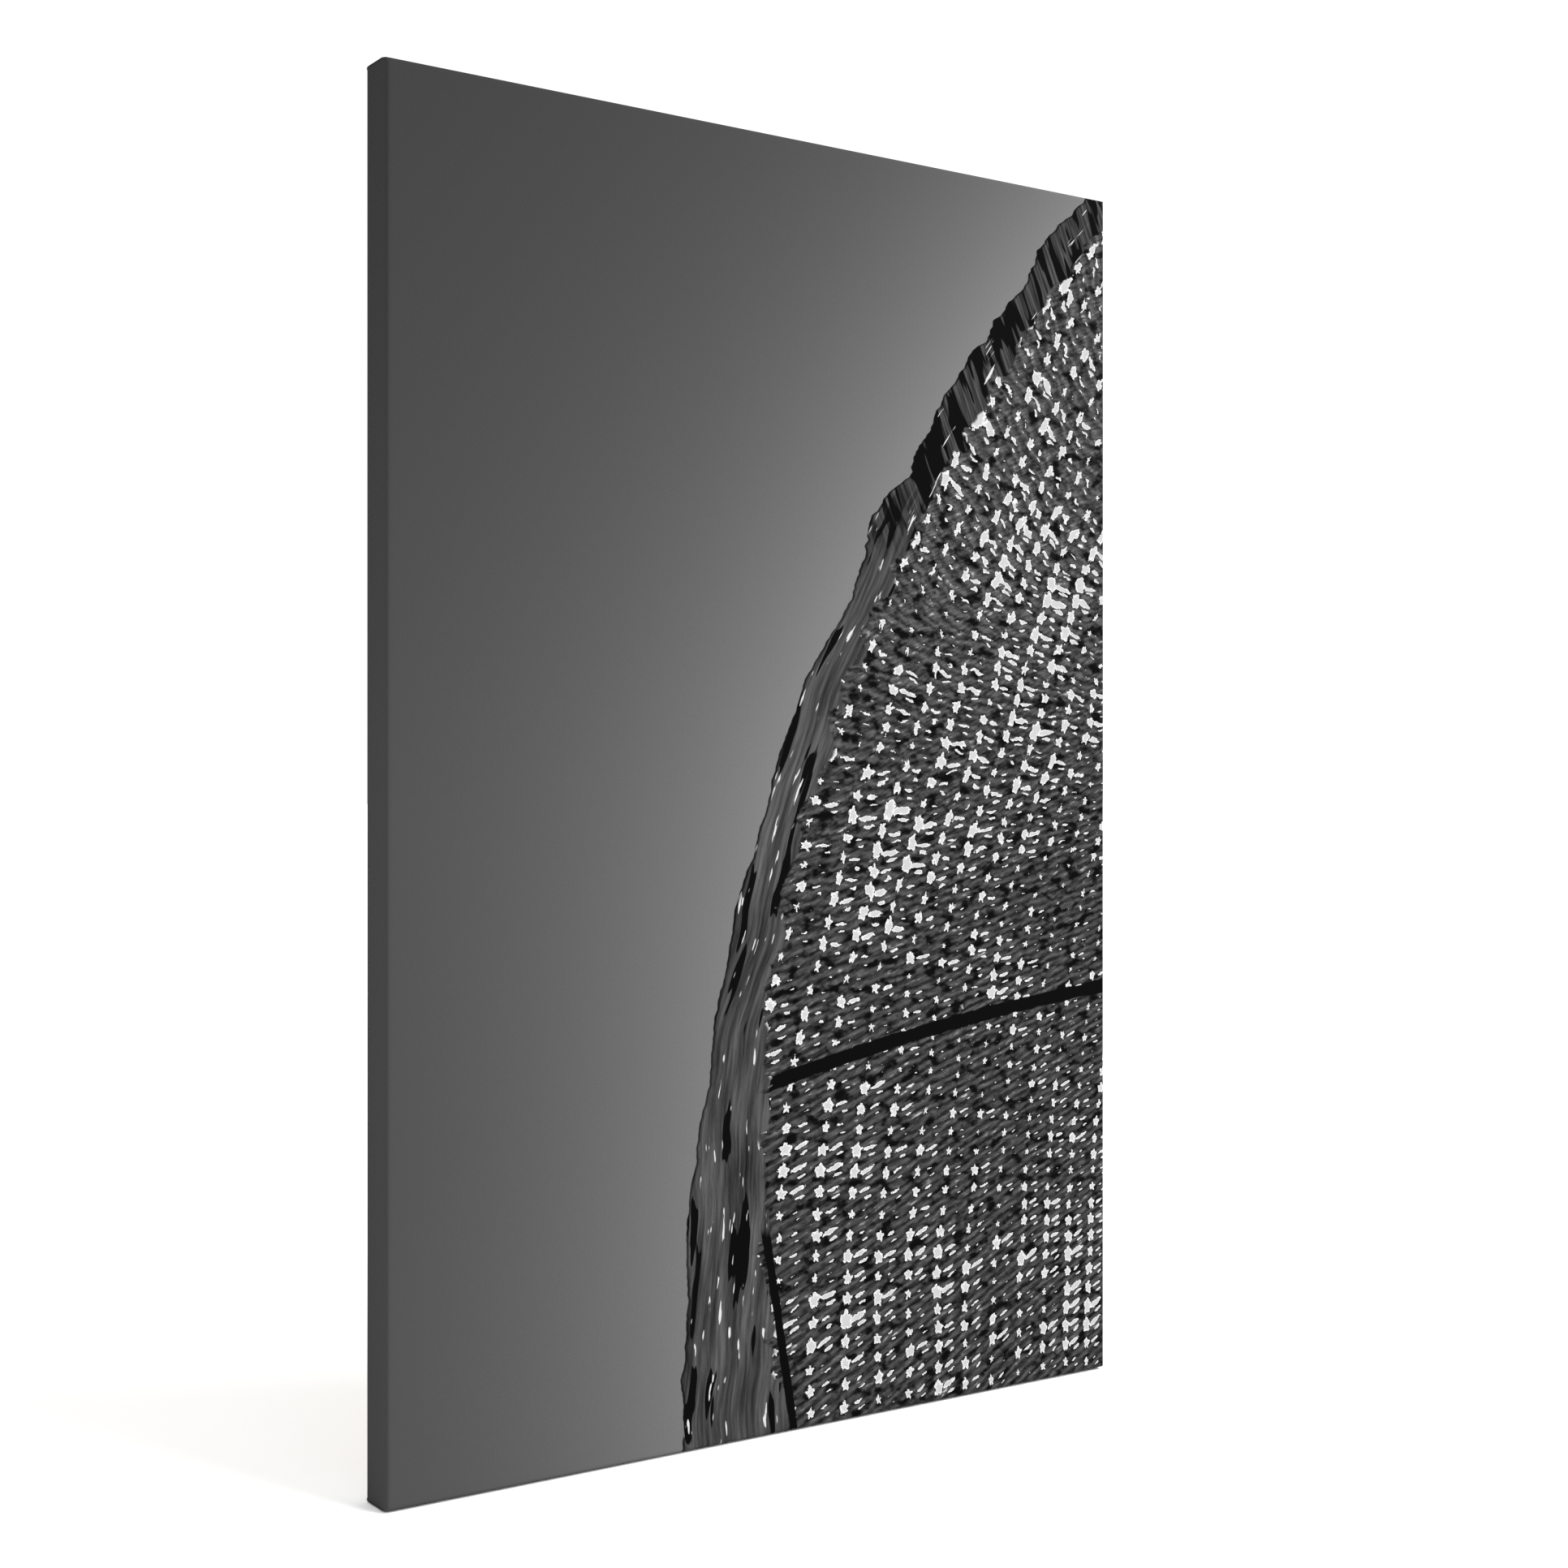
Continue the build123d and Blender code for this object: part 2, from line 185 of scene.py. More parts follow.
# ---------------------------------------------------------------------------------------------
# Material tools
# ---------------------------------------------------------------------------------------------
class Value:
    """A number in a node tree. Arithmetic on it adds Math nodes."""

    def __init__(self, tree, socket):
        self.tree = tree
        self.socket = socket

    def math(self, operation, *others):
        node = self.tree.nodes.new("ShaderNodeMath")
        node.operation = operation
        for slot, item in zip(node.inputs, (self, *others)):
            plug(self.tree, slot, item)
        return Value(self.tree, node.outputs[0])

    def __add__(self, other):
        return self.math("ADD", other)

    def __sub__(self, other):
        return self.math("SUBTRACT", other)

    def __mul__(self, other):
        return self.math("MULTIPLY", other)

    def __rsub__(self, other):
        return (self * -1) + other

    def __pow__(self, other):
        return self.math("POWER", other)

    __radd__ = __add__

    def least(self, other):
        return self.math("MINIMUM", other)

    def most(self, other):
        return self.math("MAXIMUM", other)

    def size(self):
        return self.math("ABSOLUTE")

    def root(self):
        return self.math("SQRT")

    def exponential(self):
        return self.math("EXPONENT")

    def floor(self):
        return self.math("FLOOR")

    def fract(self):
        return self.math("FRACT")

    def sine(self):
        return self.math("SINE")

    def cosine(self):
        return self.math("COSINE")

    def step(self, low, high):
        """0 below low and 1 above high, with a smooth rise between. low may be above high."""
        node = self.tree.nodes.new("ShaderNodeMapRange")
        node.interpolation_type = "SMOOTHSTEP"
        plug(self.tree, node.inputs["Value"], self)
        start, end = (0.0, 1.0) if low < high else (1.0, 0.0)
        node.inputs["From Min"].default_value = min(low, high)
        node.inputs["From Max"].default_value = max(low, high)
        node.inputs["To Min"].default_value = start
        node.inputs["To Max"].default_value = end
        return Value(self.tree, node.outputs[0])

    def mix(self, other, share):
        """This value where share is 0 and the other where it is 1."""
        return self + (wrapped(self.tree, other) - self) * share


def plug(tree, slot, item):
    """Feed a number or a Value into a node's input."""
    if isinstance(item, Value):
        tree.links.new(item.socket, slot)
    else:
        slot.default_value = item


def wrapped(tree, item):
    """A plain number as a Value."""
    if isinstance(item, Value):
        return item
    node = tree.nodes.new("ShaderNodeValue")
    node.outputs[0].default_value = item
    return Value(tree, node.outputs[0])


def vector(tree, x, y, z=0.0):
    """Three numbers as one vector socket."""
    node = tree.nodes.new("ShaderNodeCombineXYZ")
    for slot, item in zip(node.inputs, (x, y, z)):
        plug(tree, slot, item)
    return node.outputs[0]


def split(tree, socket):
    """A vector socket as three Values."""
    node = tree.nodes.new("ShaderNodeSeparateXYZ")
    tree.links.new(socket, node.inputs[0])
    return [Value(tree, out) for out in node.outputs]


def noise(tree, place, detail=2.0, roughness=0.5):
    """Smooth noise from 0 to 1, about one bump for each unit of place."""
    node = tree.nodes.new("ShaderNodeTexNoise")
    node.inputs["Scale"].default_value = 1.0
    node.inputs["Detail"].default_value = detail
    node.inputs["Roughness"].default_value = roughness
    tree.links.new(place, node.inputs["Vector"])
    return Value(tree, node.outputs[0])


def field(tree, x, y, bumps, seed, detail=2.0, roughness=0.5):
    """Noise over a face: about how many bumps for each unit across and up, and its seed."""
    return noise(tree, vector(tree, x * bumps[0], y * bumps[1], seed), detail, roughness)


def stretched(value):
    """Noise spread over the whole range from 0 to 1."""
    return value.step(0.27, 0.73)


def cell_value(tree, place):
    """One steady number from 0 to 1 for each whole-number place."""
    node = tree.nodes.new("ShaderNodeTexWhiteNoise")
    node.noise_dimensions = "2D"
    tree.links.new(place, node.inputs["Vector"])
    return Value(tree, node.outputs["Value"])


def object_place(tree):
    """Where a point is in the row frame, in millimetres."""
    node = tree.nodes.new("ShaderNodeTexCoord")
    return [part * MM for part in split(tree, node.outputs["Object"])]


def typed(sockets, kind):
    """The sockets of one type, in their order."""
    return [socket for socket in sockets if socket.type == kind]


def two_colours(tree, first, second, share):
    """A colour between two, by share."""
    node = tree.nodes.new("ShaderNodeMix")
    node.data_type = "RGBA"
    for slot, colour in zip(typed(node.inputs, "RGBA"), (first, second)):
        if isinstance(colour, tuple):
            slot.default_value = (*colour, 1.0)
        else:
            tree.links.new(colour, slot)
    plug(tree, typed(node.inputs, "VALUE")[0], share)
    return typed(node.outputs, "RGBA")[0]


def grey(tree, tone):
    """The ink that shows as a tone, as the eye sees it from 0 to 1, in this scene's light."""
    light = tone.most(0.0) ** EYE_POWER * (1 / LIGHT_ON_FACE)
    light = (light - SHEEN_LIGHT).most(DARKEST_INK)
    node = tree.nodes.new("ShaderNodeCombineColor")
    for slot in node.inputs:
        tree.links.new(light.socket, slot)
    return node.outputs[0]


def scaled_colour(tree, colour, factor):
    """A colour made lighter or darker by a factor."""
    node = tree.nodes.new("ShaderNodeVectorMath")
    node.operation = "SCALE"
    tree.links.new(colour, node.inputs[0])
    plug(tree, node.inputs["Scale"], factor)
    return node.outputs[0]


def bump(tree, height, distance):
    """A normal from a height between 0 and 1, which stands for a distance in metres."""
    node = tree.nodes.new("ShaderNodeBump")
    node.inputs["Strength"].default_value = 1.0
    node.inputs["Distance"].default_value = distance
    tree.links.new(height.socket, node.inputs["Height"])
    return node.outputs[0]


def new_material(name):
    """An empty node material and its surface shader."""
    material = bpy.data.materials.new(name)
    material.use_nodes = True
    tree = material.node_tree
    tree.nodes.clear()
    shader = tree.nodes.new("ShaderNodeBsdfPrincipled")
    output = tree.nodes.new("ShaderNodeOutputMaterial")
    tree.links.new(shader.outputs[0], output.inputs["Surface"])
    return material, tree, shader


# ---------------------------------------------------------------------------------------------
# Cloth materials. Places in these are in millimetres.
# ---------------------------------------------------------------------------------------------
def weave(tree, across, along):
    """Height of a plain weave, from 0 to 1: over and under threads in both directions."""
    turn = math.pi / THREAD_MM
    warp = (across * turn).sine()
    weft = (along * turn).sine()
    over = warp * weft
    threads = (warp * warp + weft * weft) * 0.25
    slub = field(tree, across, along, (0.9, 0.12), 0.0, 1.0)
    return over * 0.25 + threads + slub * 0.35


def boundary_mm(z):
    """Where the textile's edge lies across the picture at a height."""
    return (z * (1 / PICTURE_MM)).most(0.0) ** EDGE_CURVE * EDGE_RUN_MM + EDGE_FOOT_MM


def ground_tone(gap):
    """The plain ground, lighter towards the textile's edge."""
    return (gap * (-1 / 150.0)).exponential() * 0.245 + 0.252


def leaning_oval(place, centre, size, lean):
    """How far a point is outside an oval that leans: below 0 inside it, and 1 at twice its size."""
    turn, rise = lean
    x = place[0] - centre[0]
    y = place[1] - centre[1]
    along = (x * turn + y * rise) * (1 / size[0])
    aside = (y * turn - x * rise) * (1 / size[1])
    return (along * along + aside * aside).root() - 1.0


def five_points(place, centre, size):
    """How far a point is outside a blunt star that stands on a notch, as leaning_oval says it."""
    x = (place[0] - centre[0]) * (1 / size[0])
    y = (place[1] - centre[1]) * (1 / size[1])
    points = (y.math("ARCTAN2", x) * STAR_POINTS).sine() * STAR_DEPTH
    return (x * x + y * y).root() - 1.0 - points


def soft_patch(x, z, centre, reach):
    """1 at a centre, and falling away smoothly over a reach across and a reach up."""
    across = (x - centre[0]) * (1 / reach[0])
    up = (z - centre[1]) * (1 / reach[1])
    return ((across * across + up * up) * -1.0).exponential()


def stitch_places(tree, x, z, edge):
    """Column and row numbers of the stitches, which lean over more towards the top."""
    across = x - edge
    lean = (z * (1 / PICTURE_MM)).most(0.0) ** 1.3
    loose = z.step(120.0, 360.0) * 0.6 + 0.4
    warp = (field(tree, x, z, (0.011, 0.011), 3.0) - 0.5) * loose
    bend = (field(tree, x, z, (0.13, 0.13), 5.0) - 0.5) * loose
    tug = (field(tree, x, z, (0.12, 0.15), 35.0) - 0.5) * loose
    closer = 1.0 + across * 0.0012
    column = across * (1 / STITCH_MM[0]) * closer + warp * 1.6 + bend * 0.30
    row = (z + across * lean) * (1 / STITCH_MM[1]) + warp * 3.0 + tug * 0.75
    return column, row


def openness(tree, x, z):
    """How much wider than usual the holes are at a place."""
    wide = field(tree, x, z, (0.013, 0.009), 21.0) - 0.5
    loose = soft_patch(x, z, *LOOSE_PATCH)
    tight = soft_patch(x, z, *TIGHT_PATCH)
    return wide * 0.6 + loose * 0.15 - tight * 0.12


def past_holes(tree, x, z, place, chance, lean):
    """How far a point is outside its stitch's holes, which are ragged: below 0 inside one."""
    star = five_points(place, *STAR)
    slit = leaning_oval(place, *SLIT, lean)
    small = leaning_oval(place, *SMALL_SLIT, lean)
    ragged = field(tree, x, z, (0.46, 0.46), 2.0, 3.0, 0.8) - 0.5
    outside = star.least(slit + chance * 0.45).least(small + 0.25)
    return outside + ragged * 1.7 + (chance - 0.03) * 0.60 - openness(tree, x, z) * 3.0


def strand_tone(tree, x, z, place, lean, high_up, outside):
    """Twisted grey strands, darker in pockets and beside the holes, with a few glints."""
    fibres = stretched(field(tree, x + z * 0.4, z - x * 0.4, (0.13, 0.62), 4.0, 3.0, 0.6))
    pockets = field(tree, x, z, (0.11, 0.16), 8.0)
    aside = place[1] * lean[0] - place[0] * lean[1]
    ropes = (aside * ROPE_TURNS + ROPE_START).sine() * 0.5 + 0.5
    strand = ropes * 0.13 + fibres * 0.16 + high_up * 0.05 + 0.12
    strand = strand * (pockets.step(0.32, 0.50) * 0.62 + 0.38)
    strand = strand * (outside.step(0.04, 0.26) * 0.55 + 0.45)
    glints = pockets.step(0.58, 0.70) * ropes * fibres.step(0.45, 0.95) * 0.40
    return strand + glints


def mesh_tone(tree, x, z, edge):
    """An open stitched textile: twisted grey strands round light holes with bright rims."""
    column, row = stitch_places(tree, x, z, edge)
    chance = cell_value(tree, vector(tree, column.floor(), row.floor()))
    place = (column.fract() * CELL_WIDTH, row.fract())
    high_up = z.step(240.0, 470.0)
    angle = SLIT_LEAN - high_up * SLIT_LEAN
    lean = (angle.cosine(), angle.sine())
    outside = past_holes(tree, x, z, place, chance, lean) - high_up * 0.06
    strand = strand_tone(tree, x, z, place, lean, high_up, outside)
    light = outside.step(-0.50, -0.10) * 0.17 + 0.80
    return strand.mix(light, outside.step(0.08, -0.10))


def loose_fibres(tree, side, z):
    """The lower part of the band beside the edge: long fibres with dark slits between them."""
    fibres = stretched(field(tree, side, z, (0.55, 0.030), 7.0, 4.0, 0.65))
    broad = stretched(field(tree, side, z, (0.11, 0.012), 12.0))
    slits = field(tree, side, z, (0.13, 0.017), 31.0)
    return (fibres * 0.15 + broad * 0.14 + 0.14).mix(DARK_GAP, slits.step(0.60, 0.62))


def crossing_strands(tree, x, z):
    """The upper part of the band: flat strands that cross it, with wide dark gaps."""
    cross = x + z * 0.45
    down = z - x * 0.45
    flats = field(tree, cross, down, (0.13, 0.018), 50.0)
    streaks = stretched(field(tree, cross, down, (0.65, 0.030), 55.0, 3.0))
    return (streaks * 0.20 + 0.16).mix(DARK_GAP, flats.step(0.49, 0.45))


def band_tone(tree, x, z, edge):
    """Loose fibres along the textile's edge, then flat crossing strands with gaps higher up."""
    wander = noise(tree, vector(tree, z * 0.012, 1.5), 2.0) * 16.0
    side = x - edge + wander
    slivers = field(tree, side, z, (0.36, 0.055), 40.0)
    tone = loose_fibres(tree, side, z).mix(crossing_strands(tree, x, z), z.step(400.0, 455.0))
    return tone.mix(BRIGHT_SLIVER, slivers.step(0.655, 0.685))


def cord_share(tree, x, z):
    """1 on the dark cord across the textile and on its tail, and 0 away from them."""
    sag = ((x + 8.0) * 0.016).sine() * 3.0
    height = x * CORD_SLOPE + CORD_MM + sag
    wobble = field(tree, x, z, (0.09, 0.06), 0.0) * 2.6
    across = ((z - height).size() - wobble).step(2.3, 1.7) * x.step(-9.0, -6.0)
    tail_place = x - TAIL_MM + z * CORD_SLOPE
    tail = (tail_place.size() - wobble).step(1.2, 0.6) * z.step(96.0, 88.0)
    return across.most(tail)


def picture_tone(tree, x, z):
    """The whole printed picture as a tone, from 0 to 1."""
    edge = boundary_mm(z)
    fray = noise(tree, vector(tree, z * 0.022, 3.3), 4.0, 0.64)
    tufts = z.step(330.0, 430.0) * 26.0 + 12.0
    ragged_edge = edge + (fray - 0.5) * tufts
    # Painted shade: the ground is printed up to 6 % darker towards the foot, to offset the light
    # that the floor throws back onto it.
    ground = ground_tone((edge - x).most(0.0)) * (z.step(120.0, 340.0) * 0.06 + 0.94)
    low_part = (1.0 - z * (1 / 290.0)).most(0.0)
    weft = field(tree, x, z, (0.05, 0.05), 17.0, 3.0)
    band_width = low_part * low_part * 34.0 + 24.0 + (weft - 0.5) * 34.0
    band = band_tone(tree, x, z, edge)
    cloth = band.mix(mesh_tone(tree, x, z, edge), (x - edge - band_width).step(-1.2, 1.2))
    braid = ((x - z) * 1.1).sine() * 0.022 + 0.02
    cloth = cloth.mix(braid, cord_share(tree, x, z))
    hem = (x - ragged_edge).step(0.0, 2.0) * 0.55 + 0.45
    return ground.mix(cloth * hem, (x - ragged_edge).step(-0.35, 0.35))


def unprinted(tree, x, z):
    """0 on the print and 1 on the bare primed cloth past it, in places on the flat cloth."""
    half_width = WIDTH * MM / 2
    half_height = HEIGHT * MM / 2
    past_side = (x.size() - half_width).most(0.0)
    past_end = ((z - half_height).size() - half_height).most(0.0)
    ink_edge = field(tree, x, z, (0.4, 0.4), 2.0) - 0.5
    wrap_end = DEPTH * MM + PRINT_BLEED * MM
    return (past_side.most(past_end) + ink_edge * 0.5).step(wrap_end - 0.2, wrap_end + 0.2)


def printed_canvas():
    """Matte ink on woven cloth, running round the edges, with bare primed cloth past the print."""
    material, tree, shader = new_material("printed_canvas")
    flat = tree.nodes.new("ShaderNodeUVMap")
    flat.uv_map = "Flat"
    u, v, _ = split(tree, flat.outputs[0])
    x = u * MM
    z = v * MM
    cloth = weave(tree, x, z)
    grain = field(tree, x, z, (1.7, 1.7), 1.0)
    # Painted shade: the print is a little darker where the weave lies low, between threads. The
    # grain is random tone.
    tone = picture_tone(tree, x, z) * (0.985 + cloth * 0.03) + (grain - 0.5) * 0.016
    # Painted shade: the bare primer is darker where the weave lies low, between threads, and lighter
    # on the thread tops.
    primed = two_colours(tree, PRIMER_SHADED_LOW, PRIMER_THREAD_TOP, cloth)
    colour = two_colours(tree, grey(tree, tone), primed, unprinted(tree, x, z))
    tree.links.new(colour, shader.inputs["Base Color"])
    rough = 0.68 + cloth * 0.14
    tree.links.new(rough.socket, shader.inputs["Roughness"])
    shader.inputs["Specular IOR Level"].default_value = 0.02
    tree.links.new(bump(tree, cloth, 0.00007), shader.inputs["Normal"])
    return material


def raw_canvas():
    """The unprimed back of the cloth: cream cotton and flax with slubs and a few dark flecks."""
    material, tree, shader = new_material("raw_canvas")
    x, y, z = object_place(tree)
    side = x + y
    cloth = weave(tree, side, z)
    slub_up = field(tree, side, z, (1.4, 0.09), 2.0)
    slub_across = field(tree, side, z, (0.09, 1.4), 5.0)
    patch = field(tree, side, z, (0.015, 0.015), 8.0, 3.0)
    fleck = field(tree, side, z, (0.7, 0.55), 13.0)
    blend = (slub_up * 0.4 + slub_across * 0.4 + patch * 0.2).step(0.36, 0.64)
    colour = two_colours(tree, FLAX_DARK, FLAX_LIGHT, blend)
    # Painted shade and light from the weave: the cloth is darker where the weave lies low, between
    # threads, and lighter on the thread tops.
    colour = scaled_colour(tree, colour, 0.86 + cloth * 0.26)
    colour = two_colours(tree, colour, FLAX_FLECK, fleck.step(0.70, 0.78) * 0.65)
    tree.links.new(colour, shader.inputs["Base Color"])
    shader.inputs["Roughness"].default_value = 0.92
    shader.inputs["Specular IOR Level"].default_value = 0.15
    shader.inputs["Sheen Weight"].default_value = 0.15
    tree.links.new(bump(tree, cloth, 0.00012), shader.inputs["Normal"])
    return material


# ---------------------------------------------------------------------------------------------
# Wood, metal and felt. Places in these are in millimetres too.
# ---------------------------------------------------------------------------------------------
def knots(tree, along, aside, seed, length, centre):
    """A bar's knots, as how dark they are and how far they push the grain aside."""
    chooser = random.Random(seed)
    dark, pushed = wrapped(tree, 0.0), wrapped(tree, 0.0)
    for _ in range(KNOTS):
        place = chooser.uniform(-KNOT_SPAN, KNOT_SPAN) * length
        offset = centre + chooser.uniform(-KNOT_DRIFT_MM, KNOT_DRIFT_MM)
        radius = chooser.uniform(*KNOT_RADII_MM)
        x = (along - place) * (1 / (radius * 1.45))
        y = (aside - offset) * (1 / radius)
        far = x * x + y * y
        dark = dark.most(far.step(1.5, 0.7))
        pushed = pushed + (far * -0.16).exponential() * (radius * 1.6)
    return dark, pushed


def pine(name, upright, seed, length, centre):
    """Planed pine with its grain along the bar: soft early rings, dark late rings and knots."""
    material, tree, shader = new_material(name)
    x, y, z = object_place(tree)
    along, aside = (z - HEIGHT * MM / 2, x) if upright else (x, z)
    dark, pushed = knots(tree, along, aside, seed, length, centre)
    wander = field(tree, along, aside, (0.006, 0.02), seed)
    ring_place = aside * 0.42 + y * 0.25 + wander * 10.0 + pushed
    ring = (ring_place * 2.1).sine() * 0.5 + 0.5
    late = ring ** 3.0
    fibre = noise(tree, vector(tree, along * 0.045, aside * 2.6, y * 2.6 + seed), 4.0, 0.7)
    lines = noise(tree, vector(tree, along * 0.012, aside * 0.9, y * 0.9 + seed), 2.0)
    patch = field(tree, along, aside, (0.008, 0.04), seed + 9.0)
    colour = two_colours(tree, PINE_EARLY, PINE_LATE, late * 0.7)
    colour = two_colours(tree, colour, PINE_PALE, patch.step(0.4, 0.75) * 0.5)
    colour = two_colours(tree, colour, PINE_LINE, lines.step(0.52, 0.70) * 0.45)
    colour = two_colours(tree, colour, PINE_KNOT, dark * (ring * 0.2 + 0.75))
    colour = scaled_colour(tree, colour, 0.80 + fibre * 0.36)
    tree.links.new(colour, shader.inputs["Base Color"])
    rough = 0.62 - late * 0.12 + fibre * 0.1
    tree.links.new(rough.socket, shader.inputs["Roughness"])
    shader.inputs["Specular IOR Level"].default_value = 0.3
    tree.links.new(bump(tree, fibre * 0.6 + late * 0.4, 0.0001), shader.inputs["Normal"])
    return material


def beech(name, upright, seed):
    """Sawn beech: pale, with short dark ray flecks and saw marks across the grain."""
    material, tree, shader = new_material(name)
    x, y, z = object_place(tree)
    along, aside = (z, x) if upright else (x, z)
    fleck = noise(tree, vector(tree, along * 0.5, aside * 2.6, y * 2.6 + seed), 2.0)
    fibre = noise(tree, vector(tree, along * 0.06, aside * 3.0, y * 3.0 + seed), 3.0)
    drift = field(tree, along, aside, (0.2, 0.2), seed, 1.0)
    saw = (along * 3.4 + drift * 3.0).sine()
    colour = two_colours(tree, BEECH_DARK, BEECH_LIGHT, fibre.step(0.3, 0.7))
    colour = two_colours(tree, colour, BEECH_FLECK, fleck.step(0.62, 0.75) * 0.7)
    tree.links.new(colour, shader.inputs["Base Color"])
    shader.inputs["Roughness"].default_value = 0.7
    shader.inputs["Specular IOR Level"].default_value = 0.3
    tree.links.new(bump(tree, fibre * 0.6 + saw * 0.12 + 0.2, 0.00012), shader.inputs["Normal"])
    return material


def plated_steel(name, tint, roughness):
    """Thin bright plating with drawn lines, fine scratches and small dull spots."""
    material, tree, shader = new_material(name)
    x, y, z = object_place(tree)
    drawn = noise(tree, vector(tree, x * 9.0, y * 9.0, z * 0.6), 3.0, 0.6)
    scratch = noise(tree, vector(tree, x * 1.2 + z * 5.0, y * 2.0, z * 1.1 - x * 0.4), 3.0, 0.7)
    spots = noise(tree, vector(tree, x * 1.3, y * 1.3, z * 1.3), 3.0)
    dull = tuple(channel * 0.62 for channel in tint)
    worn = spots.step(0.52, 0.78) * 0.7
    tree.links.new(two_colours(tree, tint, dull, worn), shader.inputs["Base Color"])
    shader.inputs["Metallic"].default_value = 1.0
    rough = drawn * 0.10 + scratch.step(0.55, 0.8) * 0.16 + worn * 0.22 + roughness
    tree.links.new(rough.socket, shader.inputs["Roughness"])
    tree.links.new(bump(tree, drawn * 0.6 + scratch * 0.4, 0.000006), shader.inputs["Normal"])
    return material


def felt():
    """Dense pressed wool with loose surface fibres."""
    material, tree, shader = new_material("felt")
    x, y, z = object_place(tree)
    fibres = noise(tree, vector(tree, x * 4.0, y * 4.0, z * 4.0), 4.0, 0.7)
    lint = noise(tree, vector(tree, x * 1.1, y * 7.0, z * 2.3), 2.0)
    colour = two_colours(tree, WOOL_DARK, WOOL_LIGHT, fibres.step(0.35, 0.7))
    colour = two_colours(tree, colour, WOOL_LINT, lint.step(0.68, 0.78) * 0.5)
    tree.links.new(colour, shader.inputs["Base Color"])
    shader.inputs["Roughness"].default_value = 0.95
    shader.inputs["Sheen Weight"].default_value = 0.35
    tree.links.new(bump(tree, fibres, 0.0003), shader.inputs["Normal"])
    return material


# ---------------------------------------------------------------------------------------------
# The cloth: one sheet, wrapped and folded
# ---------------------------------------------------------------------------------------------
def side_axes(index):
    """One side's own axes in the row frame: along the bar, inwards, and its length and middle."""
    turn = math.radians(90 * index)
    along = np.array([-math.cos(turn), 0.0, math.sin(turn)])
    inwards = np.array([math.sin(turn), 0.0, math.cos(turn)])
    length, across = (WIDTH, HEIGHT) if index % 2 == 0 else (HEIGHT, WIDTH)
    return along, inwards, length, MIDDLE - inwards * across / 2


def spread_marks(length):
    """Places from -1 to 1 along a side, closer together near both ends."""
    near = 0.034
    fine, coarse = 0.0017, 0.0042
    ends = np.linspace(0, near, int(round(near / fine)) + 1)
    count = int(round((length - 2 * near) / coarse))
    middle = np.linspace(near, length - near, count + 1)[1:-1]
    marks = np.concatenate([ends, middle, length - ends[::-1]])
    return marks / length * 2 - 1


def wrap_profile():
    """The wood's outline that the cloth follows, from the front face to the end of the flap.

    Each row is (inwards, depth, outward normal inwards, outward normal in depth, length of cloth).
    """
    face, front_edge, side, back_edge, back = 2, 7, 10, 5, 13     # steps in each part
    rows = []
    for inward in np.linspace(BEAD, FRONT_RADIUS, face + 1):
        rows.append((inward, 0.0, 0.0, -1.0))
    for angle in np.linspace(0, math.pi / 2, front_edge + 1)[1:]:
        s, c = math.sin(angle), math.cos(angle)
        rows.append((FRONT_RADIUS * (1 - s), FRONT_RADIUS * (1 - c), -s, -c))
    for depth in np.linspace(FRONT_RADIUS, DEPTH - BACK_RADIUS, side + 1)[1:]:
        rows.append((0.0, depth, -1.0, 0.0))
    for angle in np.linspace(0, math.pi / 2, back_edge + 1)[1:]:
        s, c = math.sin(angle), math.cos(angle)
        rows.append((BACK_RADIUS * (1 - c), DEPTH - BACK_RADIUS * (1 - s), -c, s))
    for inward in np.linspace(BACK_RADIUS, FLAP, back + 1)[1:]:
        rows.append((inward, DEPTH, 0.0, 1.0))
    rows = np.array(rows)
    steps = np.hypot(*np.diff(rows[:, :2], axis=0).T)
    travelled = np.concatenate([[0], np.cumsum(steps)])
    return np.column_stack([rows, travelled])


PROFILE = wrap_profile()
SIDE_START = int(np.argmax(PROFILE[:, 2] <= -1 + TINY))
BACK_START = int(np.argmax(PROFILE[:, 1] > DEPTH - BACK_RADIUS + TINY)) - 1


def smooth(x, low, high):
    """0 at low and 1 at high, with a smooth rise."""
    share = np.clip((np.asarray(x, float) - low) / (high - low), 0, 1)
    return share * share * (3 - 2 * share)


def staple_marks(index):
    """Where along a side its staples are, from the staples' own shapes."""
    along, _, _, middle = side_axes(index)
    points = np.array([v.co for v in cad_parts["staples_" + SIDES[index]].data.vertices])
    places = np.sort((points - middle) @ along)
    groups = np.split(places, np.nonzero(np.diff(places) > STAPLE_GAP)[0] + 1)
    return np.array([group.mean() for group in groups])


class Sheet:
    """Collects the cloth's middle surface: points, flat places and quads."""

    def __init__(self):
        self.points = []
        self.flat = []
        self.quads = []

    def grid(self, points, flat):
        """Add a grid of points with shape (rows, columns, 3) and its flat places."""
        rows, columns = points.shape[:2]
        start = sum(len(p) for p in self.points)
        self.points.append(points.reshape(-1, 3))
        self.flat.append(flat.reshape(-1, 2))
        index = start + np.arange(rows * columns).reshape(rows, columns)
        quads = np.stack([index[:-1, :-1], index[:-1, 1:], index[1:, 1:], index[1:, :-1]], -1)
        self.quads.append(quads.reshape(-1, 4))


def opened(depth):
    """How far the folded layers have parted, from 0 at the front corner to 1."""
    return smooth(depth, FRONT_RADIUS, FRONT_RADIUS + PARTING)


def over_fold(to_end, fold):
    """1 where the cloth lies over a fold this far from a strip's end, and 0 past it."""
    return 1 - smooth(to_end, fold - FOLD_LEAD, fold + FOLD_SLOPE)


